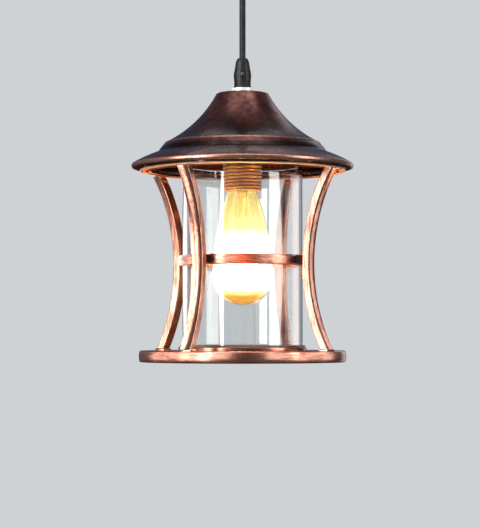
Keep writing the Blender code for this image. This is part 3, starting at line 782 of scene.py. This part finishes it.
def cage():
    """Ribs with their seams and spacers, the waist band, and the bottom ring."""
    for label, azimuth in RIBS.items():
        rib(label, azimuth)
        foot(label, azimuth)
        spacer(label, azimuth)
    band = fillet([(63.2, 106.1)] + arc((63.45, 105.4), (63.45, 96.6), -0.35, 8)
                  + [(63.2, 95.9), (61.5, 95.9), (61.5, 106.1)], 0.35, 3)
    place(turned("band", band), "lantern", "ring_copper", "waist_band")
    side = arc((102.9, 10.6), (102.9, 0.9), -0.6, 10)
    outline = fillet([(102.0, 11.5)] + side + [(102.0, 0.05), (100.2, 0.05), (100.2, 9.1),
                                               (68.5, 9.1), (68.5, 11.5)], 0.5, 3)
    ring = turned("ring", outline)
    cut(ring, *thumbscrew_holes(11))
    place(ring, "lantern", "ring_copper", "bottom_ring")


# ---------------------------------------------------------------- glass and tray
def thumbscrew_holes(height):
    """Rods that cut the thumb screws' holes at a level."""
    return [cutting_rod(around(THUMBSCREW_R, azimuth, height), (0, 0, 1), 2.3, 8)
            for azimuth in THUMBSCREW_AZIMUTHS]


def glass():
    """Glass cylinder with fire-polished ends in its gasket and tray, and the thumb screws."""
    low, high = levels("glass_cylinder")
    inner_r, outer_r = 57, 60
    outline = [(outer_r, high), (outer_r, low), (inner_r, low), (inner_r, high)]
    cylinder = turned("glass", fillet(outline, 1.1, 6), 192)
    place(cylinder, "glass_tray", "clear_glass", "glass_cylinder")
    cylinder.data.materials.append(MATERIALS["inner_glass"])
    mid_wall = (inner_r + outer_r) / 2 * MM
    for face in cylinder.data.polygons:
        face.material_index = int(math.hypot(face.center.x, face.center.y) < mid_wall)
    outline = [(64, 14.8), (64, 8.8), (80, 8.8), (80, 6.8), (50, 6.8), (50, 8.8),
               (62.8, 8.8), (62.8, 14.8)]
    tray = turned("tray", fillet(outline, 0.45, 3))
    cut(tray, *thumbscrew_holes(8))
    place(tray, "glass_tray", "ring_copper", "glass_tray")
    gasket = [(62.5, 16.8), (62.5, 9.1), (55, 9.1), (55, 10.6), (60.25, 10.6), (60.25, 16.8)]
    place(turned("gasket", fillet(gasket, 0.4, 3)), "glass_tray", "gasket_rubber",
          "glass_gasket")
    for index, azimuth in enumerate(THUMBSCREW_AZIMUTHS, 1):
        thumbscrew(f"thumbscrew_{index}", f"tray_thumbscrew_{index}",
                   around(THUMBSCREW_R, azimuth, 0))


def thumbscrew(name, node, axis):
    """Knurled brass screw with a domed head, standing below the tray's flange."""
    outline = fillet([(0, 1.7), (4.1, 1.7), (4.5, 2.2), (4.5, 6.0), (4.1, 6.5), (1.9, 6.5),
                      (1.9, 11.2), (0, 11.2)], 0.25, 2, closed=False)
    teeth, tooth, inset = 24, 0.16, 0.1
    sides = 4 * teeth
    rows = []
    for r, h in outline:
        row = []
        for j in range(sides):
            angle = 2 * math.pi * j / sides
            knurl = tooth * math.cos(teeth * angle) if r > 4.2 and 2 < h < 6.2 else 0.0
            reach = (r - inset + knurl) * MM if r else 0.0
            row.append((axis.x + reach * math.cos(angle), axis.y + reach * math.sin(angle),
                        up(h)))
        rows.append(row)
    place(sweep_rows(name, rows, closed_outline=False), "glass_tray", "cap_brass", node)


# ---------------------------------------------------------------- lampholder and top fittings
def threaded(name, crest, root, bore, low, high, pitch, run_in=2.0):
    """Tube with a helical rounded thread outside, fading out at both ends."""
    count = int((high - low) / pitch * 6)
    heights = [high - (high - low) * i / count for i in range(count + 1)]
    outline = [(root, h) for h in heights] + [(bore, low), (bore, high)]

    def shape(r, h, angle):
        if r == bore:
            return r, h
        phase = ((h / pitch) - angle / (2 * math.pi)) % 1.0
        ridge = 0.5 - 0.5 * math.cos(2 * math.pi * phase)
        fade = min(1.0, (high - h) / run_in, (h - low) / run_in)
        return root + (crest - root) * ridge * max(0.0, fade), h

    return turned(name, outline, 96, shape=shape)


def lampholder():
    """Threaded holder with its domed cap, ceramic core and contact shell, and the collar nut."""
    skirt = threaded("holder_sleeve", 19.7, 18.6, 16.4, 171, 199, 3.4)
    place(skirt, "lantern", "holder_copper", "holder_skirt")
    dome = arc((9, 213), (19.4, 201.3), -3.4, 12)
    cap = [(8, 220), (8, 213.8)] + dome + [(19.4, 199.3), (16.4, 199.3), (16.4, 203), (12, 209),
                                           (5.3, 211), (5.3, 220)]
    place(turned("holder_dome", fillet(cap, 0.4, 3), 96), "lantern", "holder_copper",
          "holder_cap")
    core = [(13.5, 205.5), (16.1, 202), (16.1, 180), (14.9, 180), (14.9, 201), (1.6, 203),
            (1.6, 205.5)]
    place(turned("holder_insert", fillet(core, 0.4, 3), 64), "lantern", "ceramic", "holder_core")
    shell = threaded("screw_shell", 14.6, 14.1, 13.4, 181, 199, 3.63, run_in=1.0)
    place(shell, "lantern", "cap_brass", "contact_shell")
    collar = fillet([(11, 274.3), (11, 269.7), (5.3, 269.7), (5.3, 274.3)], 0.6, 5)
    place(turned("collar", collar, 64), "lantern", "pale_zinc", "collar_nut")


# ---------------------------------------------------------------- bulb
def bulb():
    """Tear-shaped bulb with its threaded cap, glass stem and filament."""
    tip, middle, widest = 57.0, 87.0, 30.0
    ball = [(widest * math.cos(a), middle + widest * math.sin(a))
            for a in [math.radians(3 - 93 * i / 36) for i in range(37)]]
    neck = arc((12.3, 174), (14, 172), 0.4, 5)
    flank = arc((14, 172), ball[0], -3.2, 32)[1:-1]
    outer = [(12, 180), (12, 175)] + neck + flank + ball[:-1]
    inner = skin(outer, 0.8)[len(outer):]
    outline = [(0, tip + 0.8), *inner, *outer, (0, tip)]
    place(turned("bulb_body", outline, 96, closed=False), "bulb", "bulb_glass",
          "bulb_envelope")
    cap = threaded("bulb_screw_cap", 13.1, 12.5, 12.3, 174.5, 195.5, 3.63, run_in=2.5)
    place(cap, "bulb", "cap_brass", "bulb_cap")
    stem = [(0, 178), (9.5, 178), (9.5, 176), (6.2, 171), (4.2, 165), (3.2, 155), (2.6, 142),
            (2.8, 139), (3.6, 137), (3.2, 135), (0, 134)]
    stem = turned("bulb_mount", fillet(stem, 1.2, 4, closed=False), SMALL_ROUND, closed=False)
    place(stem, "bulb", "bulb_glass", "bulb_stem")
    filament()


def filament():
    """Cage of hairpins strung up and down round the stem, with the two leads that feed it."""
    for side, label in ((-1, "left"), (1, "right")):
        path = [Vector((side * x * MM, 0, up(h)))
                for x, h in arc((2.2, 153), (12.6, 131), 2.5, 12)]
        lead = lofted("filament_lead_" + label, path, lambda i: circle(12), 0.8 * MM, sharp=80)
        place(lead, "bulb", "plated_steel")
    hairpins, steps = 12, 22
    middle, half_height = 100.5, 29
    points = []
    for i in range(hairpins * steps + 1):
        share = i / (hairpins * steps)
        turn = 2 * math.pi * share * 0.96
        swing = math.sin(math.pi * math.sin(2 * math.pi * i / steps) / 2)
        r = 15 - 1.5 * swing
        points.append((r * MM * math.cos(turn), r * MM * math.sin(turn),
                       up(middle + half_height * swing)))
    wire = lofted("glowing_wire", points, lambda i: circle(8), 0.45 * MM, sharp=80)
    place(wire, "bulb", "filament_metal", "filament")


# ---------------------------------------------------------------- ceiling rose
def rose():
    """Round-shouldered cup with a screw in each side."""
    floor, rim = levels("rose_cup")
    cup_r, screw_level = 50, floor + 20
    path = [(5.3, floor), (24, floor)] + arc((26, floor), (cup_r, floor + 16), 4.4, 24)
    cup = turned("rose_body", skin(path + [(cup_r, rim)], -1.2))
    cut(cup, *[cutting_rod(Vector((side * cup_r * MM, 0, up(screw_level))), (1, 0, 0), 2.1, 8)
               for side in (-1, 1)])
    place(cup, "ceiling_rose", "aged_copper", "rose_cup")
    for side, label in ((-1, "left"), (1, "right")):
        face = Vector((side * 50.3 * MM, 0, up(screw_level)))
        screw = slotted_screw("cup_screw_" + label, face, (-side, 0, 0), 3.6, 3.2, 1.8, 6.5)
        place(screw, "ceiling_rose", "aged_copper", "rose_cup_screw_" + label)


# ---------------------------------------------------------------- stage and light
BACKDROP = 0.74                              # brightness of the pale surroundings
WHITE = (1.0, 0.985, 0.96)
PINK = (1.0, 0.74, 0.64)
TAN = (1.0, 0.72, 0.5)
ORANGE = (1.0, 0.36, 0.14)
BULB_COLOUR = (1.0, 0.50, 0.17)

# Pieces that a light is kept to, or kept off.
RECEIVERS = {
    "metalwork": ("EXCLUDE", "glass"),
    "left_metalwork": ("EXCLUDE", "glass", "rib_bar_back_left"),
    "rib_copperwork": ("INCLUDE", "rib_bar_front_left", "rib_bar_front_right",
                       "rib_bar_back_right"),
    "back_left_rib": ("INCLUDE", "rib_bar_back_left"),
    "front_left_rib": ("INCLUDE", "rib_bar_front_left"),
    "front_right_rib": ("INCLUDE", "rib_bar_front_right"),
    "band_copper": ("INCLUDE", "band"),
    "ring_copperwork": ("INCLUDE", "ring", "band"),
    "glassware": ("INCLUDE", "glass"),
    "lit_above": ("INCLUDE", "roof", "holder_sleeve", "holder_dome", "band"),
    "gallery_copperwork": ("INCLUDE", "gallery"),
}

# Name, azimuth, level in millimetres, size in metres, watts, receivers, and where they differ
# from the usual, colour and distance in millimetres.
SOFTBOXES = (
    ("softbox_right", 65, 430, (0.5, 1.5), 11, "metalwork"),
    ("softbox_left", -43, 430, (0.36, 1.5), 16, "metalwork"),
    ("softbox_left_wide", -63, 430, (0.32, 1.5), 10, "left_metalwork"),
    ("softbox_left_low", -66, -475, (0.36, 1.5), 11, "back_left_rib"),
    ("softbox_under_left", -66, -900, (0.5, 1.1), 7, "front_left_rib"),
    ("softbox_under_right", 114, -900, (0.6, 1.1), 6, "front_right_rib", TAN),
    ("softbox_far_right", 112, 430, (0.5, 1.5), 4.5, "rib_copperwork"),
    ("softbox_back_right", 150, 430, (0.42, 1.5), 1.5, "metalwork"),
    ("softbox_above", 0, 1500, (1.4, 0.8), 9.5, "metalwork", WHITE, 360),
    ("softbox_over", 180, 1300, (0.7, 0.12), 0.8, "metalwork", WHITE, 950),
    ("band_light", 3, 180, (0.7, 1.0), 5.0, "band_copper", ORANGE),
    ("band_light_left", -140, 180, (1.0, 1.0), 8, "band_copper"),
    ("ring_light_left", -95, 300, (1.0, 1.0), 8, "ring_copperwork"),
    ("ring_light_near_left", -23, 300, (0.45, 1.0), 2.5, "ring_copperwork"),
    ("ring_light_near_right", 39, 300, (0.6, 1.0), 3.5, "ring_copperwork"),
    ("ring_light_right", 96, 300, (0.8, 1.0), 4.5, "ring_copperwork"),
    ("glass_light_right", 66, 180, (0.64, 1.5), 9.5, "glassware"),
    ("glass_light_left", -44, 180, (0.36, 1.5), 9, "glassware"),
    ("glass_light_behind", -152, 180, (0.9, 1.5), 4.5, "glassware"),
    ("glass_light_far_right", 120, 180, (0.7, 1.5), 2.6, "glassware", PINK),
)

LAMPS = (
    ("bulb_light", 0.6, None),
    ("bulb_light_up", 3.5, "lit_above"),
    ("bulb_light_gallery", 3.2, "gallery_copperwork"),
)


def receivers(name):
    """Collection for light linking from a row of RECEIVERS."""
    state, *pieces = RECEIVERS[name]
    collection = bpy.data.collections.new(name)
    for piece in pieces:
        collection.objects.link(bpy.data.objects[piece])
    for entry in collection.collection_objects:
        entry.light_linking.link_state = state
    return collection


def light(name, kind, power, colour):
    """Light that is seen only by what it lights and by its reflections."""
    data = bpy.data.lights.new(name, kind)
    data.energy = power
    data.color = colour
    obj = bpy.data.objects.new(name, data)
    bpy.context.collection.objects.link(obj)
    obj.visible_camera = False
    obj.visible_transmission = False
    return obj


def softbox(kept_to, name, azimuth, height, size, power, only, colour=WHITE, distance=1200):
    """Softbox facing the lantern. The glass shows its own softboxes through itself too."""
    obj = light(name, "AREA", power, colour)
    obj.data.shape = "RECTANGLE"
    obj.data.size, obj.data.size_y = size
    obj.location = around(distance, azimuth, height)
    target = Vector((0, 0, up(110)))
    obj.rotation_euler = (target - obj.location).to_track_quat("-Z", "Y").to_euler()
    obj.visible_transmission = only == "glassware"
    obj.light_linking.receiver_collection = kept_to[only]


def lamp(kept_to, name, power, only):
    """Warm light from inside the bulb, which it moves with."""
    obj = light(name, "POINT", power, BULB_COLOUR)
    obj.data.shadow_soft_size = 0.026
    obj.location = (0, 0, up(98))
    if only:
        obj.light_linking.receiver_collection = kept_to[only]
    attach(obj, "bulb")


def surroundings():
    """Pale studio. Metal and glass mirror it dark, a little paler above, bluer behind."""
    world = bpy.data.worlds.new("studio")
    bpy.context.scene.world = world
    world.use_nodes = True
    world.cycles.sampling_method = "NONE"
    tree = world.node_tree
    link = tree.links.new
    backdrop = tree.nodes["Background"]
    backdrop.inputs["Color"].default_value = (0.84, 0.87, 0.90, 1)
    backdrop.inputs["Strength"].default_value = BACKDROP

    def add(kind, **settings):
        node = tree.nodes.new(kind)
        for key, value in settings.items():
            setattr(node, key, value)
        return node

    axes = add("ShaderNodeSeparateXYZ")
    link(add("ShaderNodeTexCoord").outputs["Generated"], axes.inputs[0])

    def share(axis, low, high):
        """How far a direction has come from low to high along an axis."""
        node = add("ShaderNodeMapRange")
        node.inputs["From Min"].default_value = low
        node.inputs["From Max"].default_value = high
        link(axes.outputs[axis], node.inputs["Value"])
        return node.outputs["Result"]

    def product(a, b):
        node = add("ShaderNodeMath", operation="MULTIPLY")
        link(a, node.inputs[0])
        link(b, node.inputs[1])
        return node.outputs["Value"]

    ceiling = add("ShaderNodeMix", data_type="RGBA")
    ceiling.inputs[6].default_value = (0.022, 0.022, 0.026, 1)
    ceiling.inputs[7].default_value = (0.10, 0.09, 0.095, 1)
    link(share("Z", 0.25, 0.95), ceiling.inputs[0])
    back_wall = add("ShaderNodeMix", data_type="RGBA")
    back_wall.inputs[7].default_value = (0.08, 0.11, 0.20, 1)
    link(product(share("Y", 0.35, 0.95), share("Z", -0.15, 0.2)), back_wall.inputs[0])
    link(ceiling.outputs[2], back_wall.inputs[6])
    room = add("ShaderNodeBackground")
    link(back_wall.outputs[2], room.inputs["Color"])
    ray = add("ShaderNodeLightPath")
    mix = add("ShaderNodeMixShader")
    link(product(ray.outputs["Is Glossy Ray"], ray.outputs["Is Reflection Ray"]),
         mix.inputs["Fac"])
    link(backdrop.outputs["Background"], mix.inputs[1])
    link(room.outputs["Background"], mix.inputs[2])
    link(mix.outputs["Shader"], tree.nodes["World Output"].inputs["Surface"])


def pale_floor():
    """Floor far below the hanging lantern, clear at its edge so that it ends in the backdrop."""
    bm = bmesh.new()
    bmesh.ops.create_circle(bm, cap_ends=True, segments=96, radius=20)
    floor = make("floor", bm)
    floor.location = (0, 0, BASE - 3.2)
    n = Nodes("floor")
    away = n.add("ShaderNodeVectorMath", operation="LENGTH")
    n.link(n.coords, away.inputs[0])
    fade = n.add("ShaderNodeMapRange")
    for socket, value in (("From Min", 4.0), ("From Max", 16.0)):
        fade.inputs[socket].default_value = value
    n.link(away.outputs["Value"], fade.inputs["Value"])
    clear = n.add("ShaderNodeBsdfTransparent")
    mix = n.add("ShaderNodeMixShader")
    n.set(colour=n.ramp(n.noise(3), (0.3, 0.78), (0.7, 0.82)), rough=0.9)
    n.link(fade.outputs["Result"], mix.inputs["Fac"])
    n.link(n.shader.outputs["BSDF"], mix.inputs[1])
    n.link(clear.outputs["BSDF"], mix.inputs[2])
    n.link(mix.outputs["Shader"], n.out.inputs["Surface"])
    floor.data.materials.append(n.mat)
    floor.visible_glossy = False


def stage():
    """Pale floor and surroundings, softboxes and the lit bulb."""
    pale_floor()
    surroundings()
    kept_to = {name: receivers(name) for name in RECEIVERS}
    for settings in SOFTBOXES:
        softbox(kept_to, *settings)
    for settings in LAMPS:
        lamp(kept_to, *settings)


# ---------------------------------------------------------------- the whole lantern
# CAD nodes that keep their shape, by look.
CARRIED_OVER = {
    "plated_steel": ("mounting_bracket", "rose_nipple", "rose_grip_nut", "threaded_nipple",
                     "roof_washer", "roof_lock_nut", "crossbar_upper_nut",
                     "crossbar_lower_nut"),
    "rib_copper": ("cage_crossbar",),
    "cap_brass": ("terminal_screw_live", "terminal_screw_neutral", "centre_contact"),
    "ceramic": ("terminal_block",),
    "black_glass": ("bulb_cap_insulator",),
    "pale_zinc": ("bulb_contact",),
    "black_cord": ("rose_cord_tail", "lantern_cord_tail"),
    "brown_wire": ("holder_lead_live",),
    "blue_wire": ("holder_lead_neutral",),
}


def lantern():
    """Camera and cord first, then the lantern from the rose down, and its light."""
    camera()
    free_cord()
    cord_grip("rose_grip", "rose_cord_grip", "ceiling_rose", levels("rose_cord_grip")[1], 27, -1,
              "rose_cord_clamp_screw")
    cord_grip("lantern_grip", "cord_grip", "grip", levels("cord_grip")[0], 30, 1,
              "cord_clamp_screw")
    rose()
    roof()
    gallery()
    cage()
    glass()
    lampholder()
    bulb()
    for look, nodes in CARRIED_OVER.items():
        dress(look, *nodes)
    stage()


lantern()
